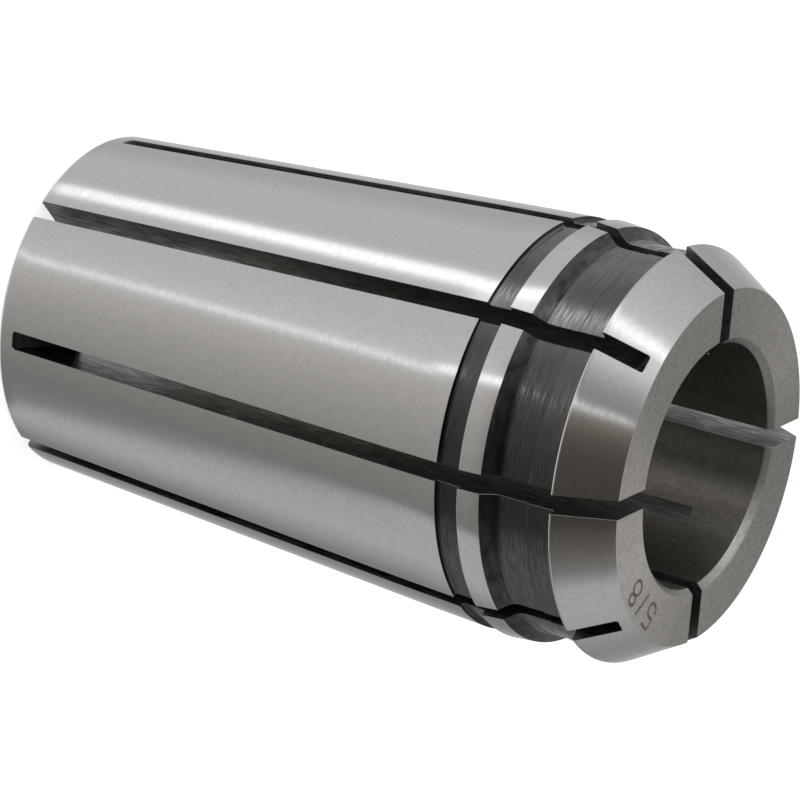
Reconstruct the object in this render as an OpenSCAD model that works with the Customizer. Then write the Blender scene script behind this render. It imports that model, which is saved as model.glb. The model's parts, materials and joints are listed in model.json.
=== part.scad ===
// Single angle collet, 75 size, bored 5/8 in.
// z = 0 is the small rear face and +Z runs out of the nose, along the axis.

/* [Body] */
// Length from the rear face to the nose face
total_len = 47.2; // [44:0.1:60]
// Half angle of the long seating taper, degrees
taper_angle = 3.5; // [2:0.1:5]
// Diameter of the seating taper at its large end, behind the relief groove
taper_d = 27.12; // [26.5:0.01:28.5]
// Chamfer round the rear end
rear_chamfer = 0.15; // [0.1:0.05:0.8]

/* [Bore] */
// Bore diameter
bore_d = 15.875; // [8:0.005:17.5]
// Chamfer at the nose mouth of the bore
nose_mouth_chamfer = 0.4; // [0.1:0.01:0.6]
// Chamfer at the rear mouth of the bore
rear_mouth_chamfer = 0.3; // [0.1:0.05:0.6]

/* [Nose] */
// Diameter of the flat nose face
face_d = 23.05; // [21:0.05:25]
// Diameter of the rim behind the nose cone
rim_d = 27.02; // [26:0.01:28.5]
// Half angle of the nose cone, degrees
nose_angle = 30; // [25:0.5:40]
// Width of the rim
rim_w = 0.2; // [0.05:0.05:0.8]

/* [Extractor groove] */
// Width of the groove at its mouth, from the rim to the land
groove_w = 4.95; // [4:0.05:6]
// Diameter of the groove floor
groove_d = 25.5; // [24:0.05:26]
// Slope of the groove wall beside the land, degrees from the axis
groove_wall_angle = 44; // [30:1:80]
// Width of the raised turned band beside the rim
band_w = 1.9; // [0.5:0.1:3]
// Height of the raised turned band above the floor
band_h = 0.06; // [0.02:0.01:0.2]

/* [Land and relief] */
// Width of the front land
land_w = 1.53; // [0.8:0.01:3]
// Diameter of the land at its nose edge
land_d = 27.06; // [26.6:0.01:27.6]
// Width of the relief groove between the land and the taper
relief_w = 1.68; // [1:0.01:3]
// Depth of the relief groove below the taper
relief_depth = 0.35; // [0.1:0.05:1]

/* [Slots] */
// Number of slots sawn from each end
slots_per_end = 4; // [2:1:6]
// Width of a slot
slot_w = 1.2; // [0.6:0.05:2]
// Diameter of the saw blade, which leaves an arc at each closed end
saw_d = 50; // [40:1:80]
// Distance from the axis at which the blade's edge stops
saw_reach = 1; // [0.5:0.1:3]
// Metal left outside between a nose slot's closed end and the rear face
rear_web = 1.15; // [0.9:0.05:4]
// Metal left outside between a rear slot's closed end and the nose face
nose_web = 0.7; // [0.6:0.05:2.5]

/* [Hidden] */
$fn = 180;

bore_r = bore_d / 2;
face_r = face_d / 2;
rim_r = rim_d / 2;
saw_r = saw_d / 2;
cut_over = 2; // how far a saw cut runs past the open end and the outside

rim_z = total_len - (rim_r - face_r) / tan(nose_angle);
shoulder_z = rim_z - rim_w;
land_z = shoulder_z - groove_w;
relief_z = land_z - land_w;
taper_z = relief_z - relief_w;

floor_r = groove_d / 2;
floor_z = land_z + (land_d / 2 - floor_r) / tan(groove_wall_angle);
band_z = shoulder_z - band_w;

function taper_r(z) = taper_d / 2 + (z - taper_z) * tan(taper_angle);
function nose_r(z) = face_r + (total_len - z) * tan(nose_angle);

// Half the length that the blade cuts at radius r
function half_chord(r) = sqrt(pow(saw_r, 2) - pow(saw_reach + saw_r - r, 2));

// Half section of the turned blank, as [radius, height] from the rear mouth of the bore
function blank_profile() = [
    [bore_r + rear_mouth_chamfer, 0],
    [bore_r, rear_mouth_chamfer],
    [bore_r, total_len - nose_mouth_chamfer],
    [bore_r + nose_mouth_chamfer, total_len],
    [face_r, total_len],
    [rim_r, rim_z],
    [rim_r, shoulder_z],
    [floor_r + band_h, shoulder_z],
    [floor_r + band_h, band_z],
    [floor_r, band_z - band_h],
    [floor_r, floor_z],
    [land_d / 2, land_z],
    [taper_r(relief_z), relief_z],
    [taper_r(relief_z) - relief_depth, relief_z],
    [taper_r(taper_z) - relief_depth, taper_z],
    [taper_r(taper_z), taper_z],
    [taper_r(rear_chamfer), rear_chamfer],
    [taper_r(0) - rear_chamfer, 0]
];

module turned_blank() {
    rotate_extrude() polygon(blank_profile());
}

// One saw cut in the plane y = 0, with its closed end at height end_z on radius end_r.
// It runs up to the nose when toward is 1 and down to the rear end when it is -1.
module saw_cut(end_z, end_r, toward) {
    centre_z = end_z + toward * half_chord(end_r);
    open_z = toward > 0 ? total_len + cut_over : -cut_over;
    outside = max(rim_r, taper_r(relief_z)) + cut_over;
    translate([saw_reach + saw_r, 0, centre_z])
        rotate([90, 0, 0])
            cylinder(r = saw_r, h = slot_w, center = true);
    translate([saw_reach, -slot_w / 2, min(centre_z, open_z)])
        cube([outside - saw_reach, slot_w, abs(open_z - centre_z)]);
}

module nose_slots() {
    for (i = [0 : slots_per_end - 1])
        rotate([0, 0, i * 360 / slots_per_end])
            saw_cut(rear_web, taper_r(rear_web), 1);
}

module rear_slots() {
    end_z = total_len - nose_web;
    for (i = [0 : slots_per_end - 1])
        rotate([0, 0, (i + 0.5) * 360 / slots_per_end])
            saw_cut(end_z, nose_r(end_z), -1);
}

module collet() {
    color("silver")
        difference() {
            turned_blank();
            nose_slots();
            rear_slots();
        }
}

collet();
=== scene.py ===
import json
import math

import bpy
from mathutils import Matrix, Vector
from mathutils.geometry import tessellate_polygon


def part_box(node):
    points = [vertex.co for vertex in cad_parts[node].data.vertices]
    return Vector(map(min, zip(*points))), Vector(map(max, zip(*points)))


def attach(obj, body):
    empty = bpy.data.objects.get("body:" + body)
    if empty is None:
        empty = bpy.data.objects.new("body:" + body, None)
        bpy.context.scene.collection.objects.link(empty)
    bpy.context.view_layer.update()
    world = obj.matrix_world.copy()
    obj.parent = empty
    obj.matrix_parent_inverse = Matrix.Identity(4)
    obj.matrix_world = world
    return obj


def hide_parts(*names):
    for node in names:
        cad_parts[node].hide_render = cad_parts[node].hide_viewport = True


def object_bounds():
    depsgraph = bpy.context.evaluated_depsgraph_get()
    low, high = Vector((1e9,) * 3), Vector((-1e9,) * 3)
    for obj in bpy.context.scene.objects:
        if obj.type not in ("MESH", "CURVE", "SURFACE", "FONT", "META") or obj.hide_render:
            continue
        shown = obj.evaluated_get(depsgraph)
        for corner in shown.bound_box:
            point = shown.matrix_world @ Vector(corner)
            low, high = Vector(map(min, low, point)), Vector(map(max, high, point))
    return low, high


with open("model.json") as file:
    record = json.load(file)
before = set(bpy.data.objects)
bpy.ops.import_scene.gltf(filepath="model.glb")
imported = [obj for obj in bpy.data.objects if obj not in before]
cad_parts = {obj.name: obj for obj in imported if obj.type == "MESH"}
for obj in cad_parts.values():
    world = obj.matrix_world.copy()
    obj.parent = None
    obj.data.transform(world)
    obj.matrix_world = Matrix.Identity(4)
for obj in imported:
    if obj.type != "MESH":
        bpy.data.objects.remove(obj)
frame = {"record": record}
cadLow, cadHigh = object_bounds()
print("collet: frame loaded")

mm = 0.001
quarters = 4  # the collet is one quarter, repeated round the axis
quarterTurn = 2 * math.pi / quarters
noseSlot, rearSlot = 0, 1  # slots sawn from the nose, and from the rear end


# Camera

camera = {
    "lens": 203.4,  # long lens, as the photograph has little perspective
    "sensor": 36.0,
    "aim": Vector((0.1, 1.1, 24.2)) * mm,
    "distance": 293.6 * mm,
    "clipStart": 10 * mm,
    "azimuth": -20.55,  # degrees, where the camera stands, from +X towards +Y
    "elevation": 29.8,
    "roll": 105.4,  # the camera lies on its side, so the standing collet lies across the picture
}


def makeCamera(c):
    data = bpy.data.cameras.new("camera")
    data.lens = c["lens"]
    data.sensor_width = c["sensor"]
    data.clip_start = c["clipStart"]
    azimuth, elevation = math.radians(c["azimuth"]), math.radians(c["elevation"])
    away = Vector((
        math.cos(azimuth) * math.cos(elevation),
        math.sin(azimuth) * math.cos(elevation),
        math.sin(elevation),
    ))
    look = (-away).to_track_quat("-Z", "Y").to_matrix().to_4x4()
    roll = Matrix.Rotation(math.radians(c["roll"]), 4, "Z")
    obj = bpy.data.objects.new("camera", data)
    obj.matrix_world = Matrix.Translation(c["aim"] + away * c["distance"]) @ look @ roll
    bpy.context.scene.collection.objects.link(obj)
    bpy.context.scene.camera = obj


makeCamera(camera)
bpy.context.scene.view_settings.view_transform = "Standard"
print("collet: camera set")


# Node helpers

def link(tree, source, output, target, socket):
    tree.links.new(source.outputs[output], target.inputs[socket])


def feed(tree, value, socket):
    # a plain value is set on the socket and anything else is linked to it
    if isinstance(value, (int, float)):
        socket.default_value = (value, value, value, 1) if socket.type == "RGBA" else value
    elif isinstance(value, tuple):
        socket.default_value = (*value, 1)
    else:
        tree.links.new(value, socket)


def calculated(tree, operation, first, second=0.0):
    node = tree.nodes.new("ShaderNodeMath")
    node.operation = operation
    feed(tree, first, node.inputs[0])
    feed(tree, second, node.inputs[1])
    return node.outputs["Value"]


def ranged(tree, source, fromLow, fromHigh, low=0.0, high=1.0, smooth=False):
    node = tree.nodes.new("ShaderNodeMapRange")
    if smooth:
        node.interpolation_type = "SMOOTHSTEP"
    values = {"From Min": fromLow, "From Max": fromHigh, "To Min": low, "To Max": high}
    for name, value in values.items():
        node.inputs[name].default_value = value
    tree.links.new(source, node.inputs["Value"])
    return node.outputs["Result"]


def mixed(tree, share, first, second, blend="MIX"):
    node = tree.nodes.new("ShaderNodeMix")
    node.data_type = "RGBA"
    node.blend_type = blend
    feed(tree, share, node.inputs["Factor"])
    feed(tree, first, node.inputs["A"])
    feed(tree, second, node.inputs["B"])
    return node.outputs["Result"]


def stretchedNoise(tree, across, along, detail, wave=0.0):
    # noise on object coordinates, with its own scale across and along the axis
    place = tree.nodes.new("ShaderNodeTexCoord")
    mapping = tree.nodes.new("ShaderNodeMapping")
    mapping.inputs["Scale"].default_value = (across, across, along)
    noise = tree.nodes.new("ShaderNodeTexNoise")
    noise.inputs["Scale"].default_value = 1.0
    noise.inputs["Detail"].default_value = detail
    noise.inputs["Distortion"].default_value = wave
    link(tree, place, "Object", mapping, "Vector")
    link(tree, mapping, "Vector", noise, "Vector")
    return noise.outputs["Fac"]


def roundRamp(tree, coordinates, stops):
    # a colour by direction round the axis; each stop is degrees from +X towards +Y, and a colour
    place = tree.nodes.new("ShaderNodeTexCoord")
    split = tree.nodes.new("ShaderNodeSeparateXYZ")
    link(tree, place, coordinates, split, "Vector")
    turn = calculated(tree, "ARCTAN2", split.outputs["Y"], split.outputs["X"])
    ramp = tree.nodes.new("ShaderNodeValToRGB")
    elements = ramp.color_ramp.elements
    while len(elements) < len(stops):
        elements.new(1.0)
    for element, (angle, colour) in zip(elements, stops):
        element.position = (angle + 180) / 360
        element.color = (*colour, 1)
    tree.links.new(ranged(tree, turn, -math.pi, math.pi), ramp.inputs["Fac"])
    return ramp.outputs["Color"]


# Materials

grain = {  # what all the machined finishes share
    "fineDetail": 3.0, "broadDetail": 2.0,
    "broadAcross": 0.6,  # scale of the broad wave round the axis, as a share of the fine one
    "crisp": 0.2,  # half the noise range that the lines are drawn from, unless a finish has its own
    "broadRange": (0.3, 0.7),  # noise range that the broad wave is drawn from
    "ringRange": (0.2, 0.8),  # range that lines mixed with turned rings are stretched from
    "ringWander": 9.0,  # radians that a turned ring wanders over the whole range of the broad wave
    "lineTurn": 0.25,  # turns the drawn-out gloss so that it runs along the axis
}


def newMaterial(name, colour, rough, metal=1.0):
    mat = bpy.data.materials.new(name)
    mat.use_nodes = True
    shader = mat.node_tree.nodes["Principled BSDF"]
    shader.inputs["Base Color"].default_value = (*colour, 1)
    shader.inputs["Metallic"].default_value = metal
    shader.inputs["Roughness"].default_value = rough
    return mat, mat.node_tree, shader


def turnedRidges(tree, pitch, drift):
    # rings round the axis, one each pitch, that wander with the drift
    place = tree.nodes.new("ShaderNodeTexCoord")
    split = tree.nodes.new("ShaderNodeSeparateXYZ")
    link(tree, place, "Object", split, "Vector")
    phase = calculated(tree, "MULTIPLY", split.outputs["Z"], 2 * math.pi / pitch)
    phase = calculated(tree, "ADD", phase, calculated(tree, "MULTIPLY", drift, grain["ringWander"]))
    return calculated(tree, "SINE", phase)


def machinedSteel(name, look):
    # fine lines and a slower, broader wave decide colour, roughness and relief together
    mat, tree, shader = newMaterial(name, look["light"], look["rough"])
    across, along, broadAlong = look["across"], look["along"], look["along"] * look["broadScale"]
    fine = stretchedNoise(tree, across, along, grain["fineDetail"], look.get("wave", 0.0))
    broad = stretchedNoise(tree, across * grain["broadAcross"], broadAlong, grain["broadDetail"])
    crisp = look.get("crisp", grain["crisp"])
    lines = ranged(tree, fine, 0.5 - crisp, 0.5 + crisp)
    if "ridge" in look:
        rings = ranged(tree, turnedRidges(tree, look["ridge"], broad), -1, 1)
        lines = ranged(tree, mixed(tree, look["ridgeShare"], lines, rings), *grain["ringRange"])
    level = mixed(tree, look["broadShare"], lines, ranged(tree, broad, *grain["broadRange"]))
    colour = mixed(tree, level, look["dark"], look["light"])
    # the colour is multiplied by painted light and shade that change round the axis
    if "paintedLight" in look:
        stops = [(angle, (paintedShare, paintedShare, paintedShare)) for angle, paintedShare in look["paintedLight"]]
        colour = mixed(tree, 1.0, colour, roundRamp(tree, "Object", stops), "MULTIPLY")
    tree.links.new(colour, shader.inputs["Base Color"])
    dull, smooth = look["rough"] + look["roughSpread"], look["rough"] - look["roughSpread"]
    tree.links.new(ranged(tree, lines, 0, 1, dull, smooth), shader.inputs["Roughness"])
    bump = tree.nodes.new("ShaderNodeBump")
    bump.inputs["Strength"].default_value = 1.0
    bump.inputs["Distance"].default_value = look["lineDepth"]
    tree.links.new(level, bump.inputs["Height"])
    link(tree, bump, "Normal", shader, "Normal")
    if look["stretch"]:
        # the gloss is drawn out along the axis, across the lines
        tangent = tree.nodes.new("ShaderNodeTangent")
        tangent.direction_type = "RADIAL"
        tangent.axis = "Z"
        link(tree, tangent, "Tangent", shader, "Tangent")
        shader.inputs["Anisotropic"].default_value = look["stretch"]
        shader.inputs["Anisotropic Rotation"].default_value = grain["lineTurn"]
    return mat


# painted light and shade round the axis, lighter where the lamps are reflected and darker where they are
# not: degrees from +X towards +Y, share of the full colour
# the oxides: a painted highlight near -51 degrees and painted shade towards 0 degrees
oxidePaintedLight = [
    (-180, 0.6), (-100, 0.78), (-72, 0.74), (-62, 0.5), (-57, 0.5), (-51, 1.0), (-46, 0.75),
    (-36, 0.43), (-8, 0.28), (8, 0.31), (22, 0.46), (60, 0.47), (180, 0.6),
]
# the band: a painted highlight near -51 degrees and painted shade towards 0 degrees
bandPaintedLight = [
    (-180, 0.6), (-100, 0.74), (-75, 0.74), (-64, 0.52), (-57, 0.52), (-51, 0.95), (-44, 0.74),
    (-36, 0.52), (-8, 0.31), (8, 0.31), (22, 0.44), (60, 0.46), (180, 0.6),
]
# the nose face: painted light, brightest near 25 degrees and darkest round 180 degrees
facePaintedLight = [
    (-180, 0.51), (-150, 0.71), (-95, 0.55), (-35, 0.57), (-10, 0.78), (25, 1.0), (80, 0.66),
    (130, 0.59), (165, 0.50), (180, 0.51),
]
# the mouth chamfer: a painted reflection, brightest near 120 degrees
mouthPaintedLight = [
    (-180, 0.36), (-140, 0.46), (-100, 0.48), (-60, 0.40), (40, 0.42), (80, 0.58), (100, 0.66),
    (120, 0.84), (140, 0.68), (160, 0.36), (180, 0.36),
]
# the bore: painted light and shade, darkest round 180 degrees
borePaintedLight = [
    (-180, 0.36), (-165, 0.40), (-150, 0.60), (-140, 0.72), (-120, 0.66), (-95, 0.9), (100, 1.0),
    (132, 1.0), (142, 0.80), (150, 0.73), (160, 0.41), (165, 0.36), (180, 0.36),
]
# the sawn slot walls: painted light and shade, lightest near -90 degrees and darkest near 45 degrees
sawnPaintedLight = [
    (-180, 0.8), (-90, 1.0), (-50, 0.6), (-40, 0.6), (0, 0.75), (45, 0.45), (90, 0.8), (125, 0.5),
    (145, 0.5), (180, 0.8),
]
# across and along are noise scales round and along the axis, per metre; along times broadScale is the
# broad wave's scale along the axis and broadShare its weight; line depths and ridge pitches are in metres
# paintedLight, where a finish has it, scales the colour by painted light and shade round the axis
steelLooks = {
    "groundSteel": {
        "dark": (0.54, 0.54, 0.545), "light": (0.61, 0.61, 0.615), "rough": 0.15, "roughSpread": 0.015,
        "across": 2200, "along": 6000, "broadScale": 0.2, "broadShare": 0.3,
        "lineDepth": 0.035e-6, "stretch": 0.25,
    },
    "coneSteel": {
        "dark": (0.525, 0.52, 0.515), "light": (0.61, 0.61, 0.605), "rough": 0.155, "roughSpread": 0.02,
        "across": 2200, "along": 6000, "broadScale": 0.2, "broadShare": 0.3,
        "lineDepth": 0.05e-6, "stretch": 0.3,
    },
    "rimSteel": {
        "dark": (0.48, 0.48, 0.47), "light": (0.60, 0.60, 0.59), "rough": 0.20, "roughSpread": 0.03,
        "across": 300, "along": 6000, "broadScale": 0.2, "broadShare": 0.5,
        "lineDepth": 0.05e-6, "stretch": 0.4,
    },
    "edgeSteel": {
        "dark": (0.15, 0.147, 0.143), "light": (0.27, 0.263, 0.255), "rough": 0.32, "roughSpread": 0.06,
        "across": 900, "along": 900, "broadScale": 0.3, "broadShare": 0.5,
        "lineDepth": 0.3e-6, "stretch": 0,
    },
    "faceSteel": {
        "dark": (0.57, 0.54, 0.495), "light": (0.85, 0.81, 0.75), "rough": 0.42, "roughSpread": 0.05,
        "across": 5200, "along": 5200, "broadScale": 0.12, "broadShare": 0.4,
        "lineDepth": 0.6e-6, "stretch": 0, "paintedLight": facePaintedLight,
    },
    "mouthSteel": {
        "dark": (0.58, 0.56, 0.525), "light": (0.74, 0.72, 0.685), "rough": 0.42, "roughSpread": 0.05,
        "across": 4000, "along": 4000, "broadScale": 0.2, "broadShare": 0.3,
        "lineDepth": 0.6e-6, "stretch": 0, "paintedLight": mouthPaintedLight,
    },
    "reliefOxide": {
        "dark": (0.20, 0.197, 0.20), "light": (0.24, 0.237, 0.242), "rough": 0.27, "roughSpread": 0.12,
        "across": 900, "along": 8000, "broadScale": 0.4, "broadShare": 0.4, "crisp": 0.14,
        "ridge": 0.24e-3, "ridgeShare": 0.25,
        "lineDepth": 0.25e-6, "stretch": 0.3, "paintedLight": oxidePaintedLight,
    },
    "grooveOxide": {
        "dark": (0.20, 0.197, 0.203), "light": (0.26, 0.257, 0.266), "rough": 0.27, "roughSpread": 0.14,
        "across": 900, "along": 8000, "broadScale": 0.4, "broadShare": 0.35, "crisp": 0.14,
        "ridge": 0.36e-3, "ridgeShare": 0.3,
        "lineDepth": 0.25e-6, "stretch": 0.3, "paintedLight": oxidePaintedLight,
    },
    "bandOxide": {
        "dark": (0.20, 0.197, 0.197), "light": (0.26, 0.256, 0.256), "rough": 0.29, "roughSpread": 0.13,
        "across": 900, "along": 8000, "broadScale": 0.4, "broadShare": 0.4, "crisp": 0.14,
        "ridge": 0.3e-3, "ridgeShare": 0.25,
        "lineDepth": 0.25e-6, "stretch": 0.3, "paintedLight": bandPaintedLight,
    },
    "wallOxide": {
        "dark": (0.07, 0.067, 0.063), "light": (0.185, 0.178, 0.17), "rough": 0.42, "roughSpread": 0.06,
        "across": 900, "along": 3000, "broadScale": 0.4, "broadShare": 0.4, "crisp": 0.14,
        "lineDepth": 1.0e-6, "stretch": 0, "paintedLight": oxidePaintedLight,
    },
    "boreSteel": {
        "dark": (0.64, 0.615, 0.565), "light": (0.88, 0.85, 0.79), "rough": 0.30, "roughSpread": 0.03,
        "across": 3000, "along": 3000, "broadScale": 0.3, "broadShare": 0.3,
        "lineDepth": 0.0, "stretch": 0, "paintedLight": borePaintedLight,
    },
    "sawnSteel": {
        "dark": (0.18, 0.174, 0.167), "light": (0.58, 0.57, 0.555), "rough": 0.36, "roughSpread": 0.10,
        "across": 5200, "along": 700, "broadScale": 0.5, "broadShare": 0.4, "wave": 0.7, "crisp": 0.16,
        "lineDepth": 4.0e-6, "stretch": 0, "paintedLight": sawnPaintedLight,
    },
}
steels = {name: machinedSteel(name, look) for name, look in steelLooks.items()}
finish = {name: i for i, name in enumerate(steelLooks)}
etchLook = {"colour": (0.21, 0.195, 0.165), "rough": 0.5, "metal": 0.6}
etchMark = newMaterial("etchMark", etchLook["colour"], etchLook["rough"], etchLook["metal"])[0]
print("collet: materials made")


# Collet, with every edge broken as the grinder leaves it

boreMount = next(m for m in frame["record"]["mounts"] if m["name"] == "bore")

collet = {  # millimetres and degrees
    "length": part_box("collet")[1].z / mm,
    "boreR": boreMount["dims"]["r_mm"],
    "taperAngle": 3.5, "taperD": 27.12, "rearChamfer": 0.15,
    "noseMouthChamfer": 0.4, "rearMouthChamfer": 0.3,
    "faceD": 23.05, "rimD": 27.02, "noseAngle": 30, "rimW": 0.2,
    "grooveW": 4.95, "grooveD": 25.5, "wallAngle": 44, "bandW": 1.9, "bandH": 0.06,
    "landW": 1.53, "landD": 27.06, "reliefW": 1.68, "reliefDepth": 0.35,
    "slotW": 1.2, "sawD": 50, "sawReach": 1, "rearWeb": 1.15, "noseWeb": 0.7,
    "slotEdge": 0.022,  # edge break along the slots
    "endBreak": 1.4,  # length of that break at a closed end, in times its depth
    "slotCorner": 0.15,  # corner radius at the closed ends
    "runOut": 0.04, "runOutZ": 31.5,  # how far the ground taper eases off towards the relief
    "cornerSteps": 4, "panelSteps": 16, "rampSteps": 10,
    "gather": 1.6,  # how strongly a panel's columns gather towards its slots
    "curveRoom": 0.95,  # share of the free stretch that a corner's curve may take
    "levelStretch": 0.01,  # a stretch of the section that rises less than this is never split
    "sharpAngle": 28,  # edges above this angle are drawn sharp
}


def turnedHeights(c):
    # heights of the turned steps: rim, shoulder, land, relief and large end of the taper
    rimZ = c["length"] - (c["rimD"] / 2 - c["faceD"] / 2) / math.tan(math.radians(c["noseAngle"]))
    shoulderZ = rimZ - c["rimW"]
    landZ = shoulderZ - c["grooveW"]
    reliefZ = landZ - c["landW"]
    return rimZ, shoulderZ, landZ, reliefZ, reliefZ - c["reliefW"]


def taperR(c, z):
    # radius of the seating taper at a height
    taperZ = turnedHeights(c)[-1]
    return c["taperD"] / 2 + (z - taperZ) * math.tan(math.radians(c["taperAngle"]))


def blankCorners(c):
    # corners of the half section: radius, height, finish of the stretch that follows, corner radius
    faceR, rimR, landR, floorR = c["faceD"] / 2, c["rimD"] / 2, c["landD"] / 2, c["grooveD"] / 2
    rimZ, shoulderZ, landZ, reliefZ, taperZ = turnedHeights(c)
    floorZ = landZ + (landR - floorR) / math.tan(math.radians(c["wallAngle"]))
    bandR, bandZ = floorR + c["bandH"], shoulderZ - c["bandW"]
    reliefR, startR = taperR(c, reliefZ), c["taperD"] / 2
    depth, chamfer = c["reliefDepth"], c["rearChamfer"]
    return [
        (c["boreR"] + c["noseMouthChamfer"], c["length"], "faceSteel", 0.12),
        (faceR, c["length"], "coneSteel", 0.03),
        (rimR, rimZ, "rimSteel", 0.2),
        (rimR, shoulderZ, "wallOxide", 0.1),
        (bandR, shoulderZ, "bandOxide", 0.15),
        (bandR, bandZ, "grooveOxide", 0.04),
        (floorR, bandZ - c["bandH"], "grooveOxide", 0.04),
        (floorR, floorZ, "wallOxide", 0.4),
        (landR, landZ, "groundSteel", 0.03),
        (reliefR, reliefZ, "reliefOxide", 0.03),
        (reliefR - depth, reliefZ, "reliefOxide", 0.08),
        # the relief wall and the wall side of its corner take the dark wall oxide, partly for the oxide
        # there and partly as painted shade in the corner
        (startR - depth, taperZ, "wallOxide", 0.24),
        (startR - c["runOut"], taperZ, "groundSteel", 0.04),
        (taperR(c, c["runOutZ"]), c["runOutZ"], "groundSteel", 1.4),
        (taperR(c, chamfer), chamfer, "reliefOxide", 0.04),
        (taperR(c, 0) - chamfer, 0, "faceSteel", 0.04),
        (c["boreR"] + c["rearMouthChamfer"], 0, "boreSteel", 0.08),
        (c["boreR"], c["rearMouthChamfer"], "boreSteel", 0.08),
        (c["boreR"], c["length"] - c["noseMouthChamfer"], "mouthSteel", 0.06),
    ]


def softCorners(c):
    # each corner of the section becomes a short curve; returns rows of point and finish
    corners, steps = blankCorners(c), c["cornerSteps"]
    rows = []
    for i, (r, z, follows, soft) in enumerate(corners):
        here = Vector((r, z))
        before = Vector(corners[i - 1][:2])
        after = Vector(corners[(i + 1) % len(corners)][:2])
        inward, onward = (before - here).normalized(), (after - here).normalized()
        leads, nextSoft = corners[i - 1][2], corners[(i + 1) % len(corners)][3]
        softOn = min(soft, ((after - here).length - nextSoft) * c["curveRoom"])
        for k in range(steps + 1):
            t = k / steps
            point = here + inward * soft * (1 - t) ** 2 + onward * softOn * t ** 2
            rows.append({"at": point, "finish": leads if k < steps / 2 else follows})
    return rows


def splitRow(c, rows, height, down, opens, slot):
    # adds a row where the section passes this height on its way down the outside or up the bore
    for i, row in enumerate(rows):
        a, b = row["at"], rows[(i + 1) % len(rows)]["at"]
        long = abs(a.y - b.y) > c["levelStretch"]
        if long and (b.y < a.y) == down and min(a.y, b.y) < height < max(a.y, b.y):
            point = a.lerp(b, (height - a.y) / (b.y - a.y))
            rows.insert(i + 1, {"at": point, "finish": row["finish"], slot: opens})
            return


def edgeNormals(rows):
    # outward normal of the section at each row, from the stretches beside it
    for i, row in enumerate(rows):
        a, b = rows[i - 1]["at"], rows[(i + 1) % len(rows)]["at"]
        into, out = (row["at"] - a).normalized(), (b - row["at"]).normalized()
        both = (into + out).normalized()
        row["normal"] = Vector((-both.y, both.x))


def slotEnds(c):
    # for each kind of slot, where its closed end lies outside (radius, height) and which way it opens
    noseEndR = c["faceD"] / 2 + c["noseWeb"] * math.tan(math.radians(c["noseAngle"]))
    return {
        noseSlot: (taperR(c, c["rearWeb"]), c["rearWeb"], 1),
        rearSlot: (noseEndR, c["length"] - c["noseWeb"], -1),
    }


def bladeHeight(c, x, end):
    # height of the blade's arc over in-plane distance x, where it passes through the closed end
    endX, endZ, toward = end
    centreX = c["sawReach"] + c["sawD"] / 2

    def chord(at):
        return math.sqrt((c["sawD"] / 2) ** 2 - (centreX - at) ** 2)

    return endZ + toward * (chord(endX) - chord(x))


def sectionRows(c, ends):
    # rows of the half section, with extra ones on both sides of every closed end
    rows, edge = softCorners(c), c["slotEdge"]
    for slot, end in ends.items():
        for r, down in ((end[0] - edge, True), (c["boreR"] + edge, False)):
            z = bladeHeight(c, r, end)
            splitRow(c, rows, z, down, True, slot)
            splitRow(c, rows, z - end[2] * edge * c["endBreak"], down, False, slot)
    edgeNormals(rows)
    return rows


def openRows(rows, slot):
    # the two rows where this slot closes, and for each row whether the slot cuts through it
    marks = [i for i, row in enumerate(rows) if row.get(slot) is True]
    between = range(marks[0], marks[1] + 1)
    return marks, [(i in between) == (slot == rearSlot) or i in marks for i in range(len(rows))]


def slotAcross(c):
    # across a slot: distance from its middle, and how far its closed end stays back there
    half, corner = c["slotW"] / 2, c["slotCorner"]
    turns = [math.radians(angle) for angle in (0, 60, 90)]
    side = [(-half + corner * (1 - math.cos(t)), corner * (1 - math.sin(t))) for t in turns]
    return side + [(0, 0)] + [(-offset, back) for offset, back in side[::-1]]


def quarterColumns(c):
    # columns round a quarter: ("panel", slot, side, share of the way to the slot) between the slots
    # and ("slot", slot, distance from its middle, how far its closed end stays back) across them
    last = c["panelSteps"] - 1
    shares = [1 - (1 - k / last) ** c["gather"] for k in range(last + 1)]
    columns = []
    for slot in (noseSlot, rearSlot):
        before = [("panel", slot, -1, share) for share in shares]
        columns += before if slot == noseSlot else before[1:]  # two panels share their middle
        columns += [("slot", slot, offset, back) for offset, back in slotAcross(c)]
        columns += [("panel", slot, 1, share) for share in shares[::-1]]
    return columns


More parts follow.
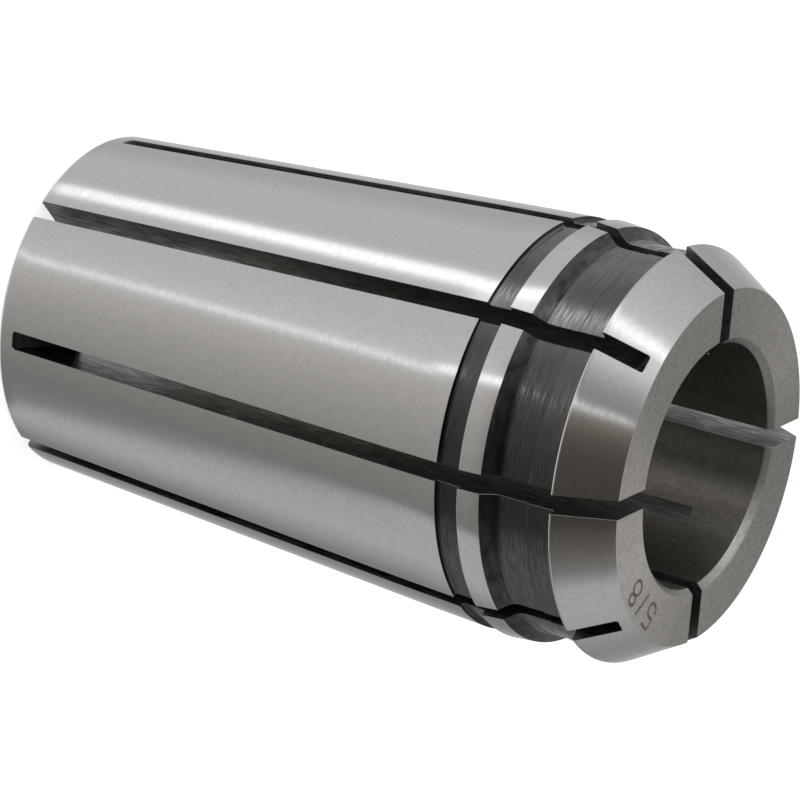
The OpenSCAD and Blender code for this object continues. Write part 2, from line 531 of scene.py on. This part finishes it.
def buildQuarter(c):
    # one quarter of the collet as a mesh, with the number of its finish on every face
    ends, edge = slotEnds(c), c["slotEdge"]
    rows, columns = sectionRows(c, ends), quarterColumns(c)
    count = len(rows)
    marks, isOpen = {}, {}
    for slot in ends:
        marks[slot], isOpen[slot] = openRows(rows, slot)
    slotAngle = {noseSlot: 0.0, rearSlot: quarterTurn / 2}
    verts, faces, finishes, made = [], [], [], {}

    def angleAt(column, r):
        # angle round the axis of a column at this radius, so that slot walls stay flat
        slot = column[1]
        if column[0] == "slot":
            return slotAngle[slot] + math.asin(column[2] / r)
        side, share = column[2], column[3]
        middle = slotAngle[slot] + side * quarterTurn / 4
        rim = slotAngle[slot] + side * math.asin((c["slotW"] / 2 + edge) / r)
        return middle + share * (rim - middle)

    def vertex(i, j):
        # the point of row i and column j, made when it is first asked for
        if (i, j) not in made:
            row, column = rows[i], columns[j]
            at, slot = row["at"], column[1]
            if column[0] == "slot" and slot in row:
                tangent = Vector((row["normal"].y, -row["normal"].x))
                at = at + tangent * math.copysign(column[3], tangent.y * ends[slot][2])
            if column[0] == "slot" and isOpen[slot][i]:
                at = at - row["normal"] * edge
            a = angleAt(column, at.x)
            made[i, j] = len(verts)
            verts.append(Vector((at.x * math.cos(a), at.x * math.sin(a), at.y)) * mm)
        return made[i, j]

    def addFace(corners, kind, toward=None):
        # turned over where it doesn't face the given direction
        if toward is not None:
            p, q, r = (verts[k] for k in corners[:3])
            if (q - p).cross(r - p).dot(toward) < 0:
                corners = corners[::-1]
        faces.append(corners)
        finishes.append(finish[kind])

    def addSkin():
        # the turned surface, left open where a slot cuts through it
        for i in range(count):
            below = (i + 1) % count
            for j, pair in enumerate(zip(columns, columns[1:])):
                sawn = [col[0] == "slot" and isOpen[col[1]][i] and isOpen[col[1]][below] for col in pair]
                if not all(sawn):
                    corners = [vertex(i, j), vertex(below, j), vertex(below, j + 1), vertex(i, j + 1)]
                    addFace(corners, "edgeSteel" if any(sawn) else rows[i]["finish"])

    def addRamp(slot, j, radial, sideways):
        # one line of the blade's arc, from the outside to the bore
        outRow, boreRow = marks[slot]
        start, stop = vertex(outRow, j), vertex(boreRow, j)
        x0, x1 = verts[start].dot(radial) / mm, verts[stop].dot(radial) / mm
        slip0 = verts[start].z / mm - bladeHeight(c, x0, ends[slot])
        slip1 = verts[stop].z / mm - bladeHeight(c, x1, ends[slot])
        ramp = [start]
        for k in range(1, c["rampSteps"]):
            t = k / c["rampSteps"]
            x = x0 + (x1 - x0) * t
            z = bladeHeight(c, x, ends[slot]) + slip0 * (1 - t) + slip1 * t
            ramp.append(len(verts))
            verts.append((radial * x + sideways * columns[j][2] + Vector((0, 0, z))) * mm)
        return ramp + [stop]

    def addSlot(slot):
        # the closed end of a slot and its two sawn walls
        first = next(j for j, col in enumerate(columns) if col[:2] == ("slot", slot))
        last = first + len(slotAcross(c)) - 1
        a = slotAngle[slot]
        radial, sideways = Vector((math.cos(a), math.sin(a), 0)), Vector((-math.sin(a), math.cos(a), 0))
        ramps = [addRamp(slot, j, radial, sideways) for j in range(first, last + 1)]
        # the closed end is sawn like the walls, yet takes the dark wall oxide, which paints the shade at
        # the slot's end
        for left, right in zip(ramps, ramps[1:]):
            for k in range(c["rampSteps"]):
                corners = [left[k], left[k + 1], right[k + 1], right[k]]
                addFace(corners, "wallOxide", radial + Vector((0, 0, ends[slot][2])))
        outRow, boreRow = marks[slot]
        order = range(outRow, boreRow + 1) if slot == rearSlot else range(boreRow, outRow + count + 1)
        for j, ramp, into in ((first, ramps[0], sideways), (last, ramps[-1], -sideways)):
            loop = [vertex(i % count, j) for i in order]
            loop += ramp[1:-1] if slot == noseSlot else ramp[-2:0:-1]
            flat = [Vector((verts[k].dot(radial), verts[k].z, 0)) for k in loop]
            for triangle in tessellate_polygon([flat]):
                addFace([loop[k] for k in triangle], "sawnSteel", into)

    addSkin()
    for slot in ends:
        addSlot(slot)
    mesh = bpy.data.meshes.new("quarter")
    mesh.from_pydata(verts, [], faces)
    layer = mesh.attributes.new("finish", "INT", "FACE")
    layer.data.foreach_set("value", finishes)
    mesh.update()
    return mesh


def namedInput(tree, name, kind, value):
    item = tree.interface.new_socket(name=name, in_out="INPUT", socket_type=kind)
    item.default_value = value
    return item.identifier


def repeatTree():
    # repeats a quarter round the axis, welds the seams and lays each finish on its faces
    tree = bpy.data.node_groups.new("repeatRound", "GeometryNodeTree")
    tree.interface.new_socket(name="Geometry", in_out="INPUT", socket_type="NodeSocketGeometry")
    tree.interface.new_socket(name="Geometry", in_out="OUTPUT", socket_type="NodeSocketGeometry")
    sockets = {
        "Copies": namedInput(tree, "Copies", "NodeSocketInt", quarters),
        "Weld distance": namedInput(tree, "Weld distance", "NodeSocketFloat", 0.001 * mm),
    }
    nodes = tree.nodes
    start, end = nodes.new("NodeGroupInput"), nodes.new("NodeGroupOutput")
    points = nodes.new("GeometryNodePoints")
    link(tree, start, "Copies", points, "Count")
    index = nodes.new("GeometryNodeInputIndex")
    turn = nodes.new("ShaderNodeMath")
    turn.operation = "DIVIDE"
    turn.inputs[0].default_value = 2 * math.pi
    link(tree, start, "Copies", turn, 1)
    angle = nodes.new("ShaderNodeMath")
    angle.operation = "MULTIPLY"
    link(tree, index, "Index", angle, 0)
    link(tree, turn, "Value", angle, 1)
    euler = nodes.new("ShaderNodeCombineXYZ")
    link(tree, angle, "Value", euler, "Z")
    rotation = nodes.new("FunctionNodeEulerToRotation")
    link(tree, euler, "Vector", rotation, "Euler")
    copies = nodes.new("GeometryNodeInstanceOnPoints")
    link(tree, points, "Points", copies, "Points")
    link(tree, start, "Geometry", copies, "Instance")
    link(tree, rotation, "Rotation", copies, "Rotation")
    real = nodes.new("GeometryNodeRealizeInstances")
    link(tree, copies, "Instances", real, "Geometry")
    weld = nodes.new("GeometryNodeMergeByDistance")
    link(tree, real, "Geometry", weld, "Geometry")
    link(tree, start, "Weld distance", weld, "Distance")
    kind = nodes.new("GeometryNodeInputNamedAttribute")
    kind.data_type = "INT"
    kind.inputs["Name"].default_value = "finish"
    last = weld
    for name, number in finish.items():
        same = nodes.new("FunctionNodeCompare")
        same.data_type = "INT"
        same.operation = "EQUAL"
        tree.links.new(kind.outputs["Attribute"], same.inputs[2])
        same.inputs[3].default_value = number
        paint = nodes.new("GeometryNodeSetMaterial")
        paint.inputs["Material"].default_value = steels[name]
        link(tree, last, "Geometry", paint, "Geometry")
        link(tree, same, "Result", paint, "Selection")
        last = paint
    link(tree, last, "Geometry", end, "Geometry")
    return tree, sockets


def applyTree(obj, tree, sockets, values):
    # runs the node tree on the object and leaves a plain mesh in its place
    modifier = obj.modifiers.new("nodes", "NODES")
    modifier.node_group = tree
    for name, value in values.items():
        modifier[sockets[name]] = value
    graph = bpy.context.evaluated_depsgraph_get()
    plain = bpy.data.meshes.new_from_object(obj.evaluated_get(graph), depsgraph=graph)
    obj.modifiers.remove(modifier)
    obj.data = plain


def makeCollet(c):
    obj = bpy.data.objects.new("colletBody", buildQuarter(c))
    bpy.context.scene.collection.objects.link(obj)
    tree, sockets = repeatTree()
    applyTree(obj, tree, sockets, {"Copies": quarters})
    obj.data.attributes.remove(obj.data.attributes["finish"])
    obj.data.shade_smooth()
    obj.data.set_sharp_from_angle(angle=math.radians(c["sharpAngle"]))
    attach(obj, "root")
    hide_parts("collet")
    return obj


colletBody = makeCollet(collet)
print("collet: body", len(colletBody.data.polygons), "faces")


# Size mark, plain figures etched on the nose face

mark = {  # millimetres and degrees; the figures stand in a straight row across the 45 degree line
    "middle": (-0.12, 10.13), "facing": 45.0, "height": 1.65, "line": 0.23, "rise": 0.006,
    "rowX": {"five": -1.42, "slash": 0.15, "eight": 1.57},
}


def arcPoints(x, y, radiusX, radiusY, start, stop, steps=18):
    turns = [math.radians(start + (stop - start) * k / steps) for k in range(steps + 1)]
    return [(x + radiusX * math.cos(t), y + radiusY * math.sin(t)) for t in turns]


# strokes of each figure in a box one unit high, with its middle at zero
figures = {
    "five": [[(0.36, 0.5), (-0.22, 0.5), (-0.27, 0.03)] + arcPoints(0.02, -0.23, 0.31, 0.28, 125, -178)],
    "slash": [[(-0.14, -0.5), (0.14, 0.56)]],
    "eight": [
        arcPoints(0, 0.3, 0.26, 0.21, -90, 270),
        arcPoints(0, -0.2, 0.32, 0.29, 90, 450),
    ],
}


def markTree():
    # sweeps a flat bead along the strokes
    tree = bpy.data.node_groups.new("strokeBead", "GeometryNodeTree")
    tree.interface.new_socket(name="Geometry", in_out="INPUT", socket_type="NodeSocketGeometry")
    tree.interface.new_socket(name="Geometry", in_out="OUTPUT", socket_type="NodeSocketGeometry")
    sockets = {
        "Line width": namedInput(tree, "Line width", "NodeSocketFloat", 0.12 * mm),
        "Flatness": namedInput(tree, "Flatness", "NodeSocketFloat", 0.1),
        "Face height": namedInput(tree, "Face height", "NodeSocketFloat", 0.0),
    }
    nodes = tree.nodes
    start, end = nodes.new("NodeGroupInput"), nodes.new("NodeGroupOutput")
    curve = nodes.new("GeometryNodeMeshToCurve")
    link(tree, start, "Geometry", curve, "Mesh")
    halve = nodes.new("ShaderNodeMath")
    halve.operation = "MULTIPLY"
    halve.inputs[1].default_value = 0.5
    link(tree, start, "Line width", halve, 0)
    profile = nodes.new("GeometryNodeCurvePrimitiveCircle")
    profile.inputs["Resolution"].default_value = 10
    link(tree, halve, "Value", profile, "Radius")
    sweep = nodes.new("GeometryNodeCurveToMesh")
    link(tree, curve, "Curve", sweep, "Curve")
    link(tree, profile, "Curve", sweep, "Profile Curve")
    sweep.inputs["Fill Caps"].default_value = True
    scale = nodes.new("ShaderNodeCombineXYZ")
    scale.inputs["X"].default_value = 1
    scale.inputs["Y"].default_value = 1
    link(tree, start, "Flatness", scale, "Z")
    height = nodes.new("ShaderNodeCombineXYZ")
    link(tree, start, "Face height", height, "Z")
    place = nodes.new("GeometryNodeTransform")
    link(tree, sweep, "Mesh", place, "Geometry")
    link(tree, scale, "Vector", place, "Scale")
    link(tree, height, "Vector", place, "Translation")
    real = nodes.new("GeometryNodeRealizeInstances")
    link(tree, place, "Geometry", real, "Geometry")
    paint = nodes.new("GeometryNodeSetMaterial")
    paint.inputs["Material"].default_value = etchMark
    link(tree, real, "Geometry", paint, "Geometry")
    link(tree, paint, "Geometry", end, "Geometry")
    return tree, sockets


def makeMark(m, faceZ):
    a = math.radians(m["facing"])
    outward, along = Vector((math.cos(a), math.sin(a), 0)), Vector((math.sin(a), -math.cos(a), 0))
    verts, edges = [], []
    for name, strokes in figures.items():
        for stroke in strokes:
            for n, (x, y) in enumerate(stroke):
                if n:
                    edges.append((len(verts) - 1, len(verts)))
                right = m["middle"][0] + m["rowX"][name] + x * m["height"]
                verts.append((outward * (m["middle"][1] + y * m["height"]) + along * right) * mm)
    mesh = bpy.data.meshes.new("strokes")
    mesh.from_pydata(verts, edges, [])
    obj = bpy.data.objects.new("sizeMark", mesh)
    bpy.context.scene.collection.objects.link(obj)
    tree, sockets = markTree()
    values = {"Line width": m["line"] * mm, "Flatness": 2 * m["rise"] / m["line"], "Face height": faceZ}
    applyTree(obj, tree, sockets, values)
    obj.data.shade_smooth()
    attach(obj, "root")
    return obj


sizeMark = makeMark(mark, cadHigh.z)
print("collet: size mark", len(sizeMark.data.polygons), "faces")


# Floor and light tent

studio = {
    "floorSize": 3.0, "floorColour": (0.85, 0.85, 0.85), "floorGlow": 0.75,
    # brightness of the tent wall by compass direction, degrees from +X towards +Y
    "lowWall": [
        (-180, 0.60), (-165, 0.53), (-150, 0.56), (-130, 0.72), (-60, 0.73), (-40, 0.80), (-28, 0.66),
        (-10, 0.52), (15, 0.39), (30, 0.33), (45, 0.275), (75, 0.25), (82, 0.26), (90, 0.52),
        (97, 0.44), (107, 0.30), (125, 0.30), (140, 0.42), (160, 0.66), (180, 0.60),
    ],
    "highWall": [
        (-180, 0.54), (-160, 0.52), (-135, 0.64), (-100, 0.78), (-88, 0.92), (-72, 0.98), (-64, 0.92),
        (-55, 0.62), (-48, 0.46), (-40, 0.35), (-30, 0.25), (-18, 0.12), (-5, 0.085), (30, 0.065),
        (50, 0.18), (60, 0.28), (69, 0.60), (90, 0.59), (112, 0.43), (120, 0.38), (140, 0.42),
        (160, 0.38), (180, 0.54),
    ],
    "lowTop": -22, "highFoot": 0,  # elevations between which the low wall gives way to the high one
    "warmFrom": -32, "warmTo": 50,  # compass directions with a warmer tint
    "lowWarm": (1.04, 1.0, 0.94), "highWarm": (1.12, 1.0, 0.86),
    "peak": 3.0,  # strength of the world; every level is written as a share of it in the nodes
    "roof": 0.6, "roofFoot": 45, "roofFull": 70,  # brightness overhead, and where it sets in
    "pit": 1.2, "pitTop": -48, "pitFull": -60,  # brightness underneath, and where it sets in
}
# soft cards and strips in front of the wall, in degrees: each side is compass direction, lean for each
# degree below the bend, and softness; foot and top are the elevations over which a card fades
cards = {
    "mainStrip": {
        "level": 1.95, "left": (-89.8, -0.7, 5), "right": (-80.6, -0.7, 5), "bend": -28,
        "foot": (-48, -38), "top": (-5, 18),
    },
    "sideStrip": {
        "level": 1.40, "left": (-80.6, 0, 5), "right": (-74, 0, 5), "bend": -28,
        "foot": (-34, -28), "top": (-20, 10),
    },
    "coneStrip": {
        "level": 1.95, "left": (-87.2, 0, 9), "right": (-79.0, 0, 6), "bend": -28,
        "foot": (-5, 18), "top": (48, 60),
    },
    "thinStrip": {
        "level": 2.1, "left": (-36.0, 0, 2.0), "right": (-32.2, 0, 2.0), "bend": -28,
        "foot": (-33.5, -31), "top": (0, 60),
    },
    "thinFoot": {
        "level": 1.52, "left": (-32.9, -0.7, 2.4), "right": (-29.4, -0.7, 2.4), "bend": -34,
        "foot": (-56, -42), "top": (-33.5, -31),
    },
    "paleSide": {
        "level": 0.60, "left": (49, 5.6, 3), "right": (88, 0, 8), "bend": -35.3,
        "foot": (-75, -65), "top": (-22, 0),
    },
}


def makeFloor(s):
    size = s["floorSize"] / 2
    mesh = bpy.data.meshes.new("floor")
    corners = [(-size, -size, 0), (size, -size, 0), (size, size, 0), (-size, size, 0)]
    mesh.from_pydata(corners, [], [(0, 1, 2, 3)])
    mat = bpy.data.materials.new("paleFloor")
    mat.use_nodes = True
    tree = mat.node_tree
    tree.nodes.clear()
    diffuse = tree.nodes.new("ShaderNodeBsdfDiffuse")
    diffuse.inputs["Color"].default_value = (*s["floorColour"], 1)
    glow = tree.nodes.new("ShaderNodeEmission")
    ray = tree.nodes.new("ShaderNodeLightPath")
    strength = tree.nodes.new("ShaderNodeMath")
    strength.operation = "MULTIPLY"
    strength.inputs[1].default_value = s["floorGlow"]
    link(tree, ray, "Is Camera Ray", strength, 0)
    link(tree, strength, "Value", glow, "Strength")
    both = tree.nodes.new("ShaderNodeAddShader")
    link(tree, diffuse, "BSDF", both, 0)
    link(tree, glow, "Emission", both, 1)
    out = tree.nodes.new("ShaderNodeOutputMaterial")
    link(tree, both, "Shader", out, "Surface")
    mesh.materials.append(mat)
    floor = bpy.data.objects.new("floor", mesh)
    bpy.context.scene.collection.objects.link(floor)
    floor.visible_glossy = False


def tentWall(tree, levels, warm, s):
    stops = []
    for angle, level in levels:
        tint = warm if s["warmFrom"] <= angle <= s["warmTo"] else (1, 1, 1)
        stops.append((angle, tuple(level * t / s["peak"] for t in tint)))
    return roundRamp(tree, "Generated", stops)


def hangCard(tree, behind, compass, elevation, card, peak):
    # lays one card over what is behind it
    below = calculated(tree, "MAXIMUM", calculated(tree, "SUBTRACT", card["bend"], elevation), 0)
    share = ranged(tree, elevation, *card["foot"], smooth=True)
    share = calculated(tree, "MULTIPLY", share, ranged(tree, elevation, *card["top"], 1, 0, smooth=True))
    for side, outer, inner in (("left", 0, 1), ("right", 1, 0)):
        edge, lean, soft = card[side]
        across = calculated(tree, "SUBTRACT", compass, calculated(tree, "MULTIPLY", below, lean))
        fade = ranged(tree, across, edge - soft / 2, edge + soft / 2, outer, inner, smooth=True)
        share = calculated(tree, "MULTIPLY", share, fade)
    return mixed(tree, share, behind, card["level"] / peak)


def makeTent(s):
    world = bpy.data.worlds.new("lightTent")
    bpy.context.scene.world = world
    world.use_nodes = True
    tree = world.node_tree
    tree.nodes.clear()
    place = tree.nodes.new("ShaderNodeTexCoord")
    split = tree.nodes.new("ShaderNodeSeparateXYZ")
    link(tree, place, "Generated", split, "Vector")
    turn = calculated(tree, "ARCTAN2", split.outputs["Y"], split.outputs["X"])
    rise = calculated(tree, "ARCSINE", split.outputs["Z"])
    compass = calculated(tree, "MULTIPLY", turn, math.degrees(1))
    elevation = calculated(tree, "MULTIPLY", rise, math.degrees(1))
    low = tentWall(tree, s["lowWall"], s["lowWarm"], s)
    high = tentWall(tree, s["highWall"], s["highWarm"], s)
    level = mixed(tree, ranged(tree, elevation, s["lowTop"], s["highFoot"], smooth=True), low, high)
    for card in cards.values():
        level = hangCard(tree, level, compass, elevation, card, s["peak"])
    roofShare = ranged(tree, elevation, s["roofFoot"], s["roofFull"], smooth=True)
    level = mixed(tree, roofShare, level, s["roof"] / s["peak"])
    pitShare = ranged(tree, elevation, s["pitFull"], s["pitTop"], 1, 0, smooth=True)
    level = mixed(tree, pitShare, level, s["pit"] / s["peak"])
    wall = tree.nodes.new("ShaderNodeBackground")
    wall.inputs["Strength"].default_value = s["peak"]
    tree.links.new(level, wall.inputs["Color"])
    white = tree.nodes.new("ShaderNodeBackground")
    white.inputs["Color"].default_value = (1, 1, 1, 1)
    ray = tree.nodes.new("ShaderNodeLightPath")
    pick = tree.nodes.new("ShaderNodeMixShader")
    link(tree, ray, "Is Camera Ray", pick, "Fac")
    link(tree, wall, "Background", pick, 1)
    link(tree, white, "Background", pick, 2)
    out = tree.nodes.new("ShaderNodeOutputWorld")
    link(tree, pick, "Shader", out, "Surface")


makeFloor(studio)
makeTent(studio)
print("collet: studio made")
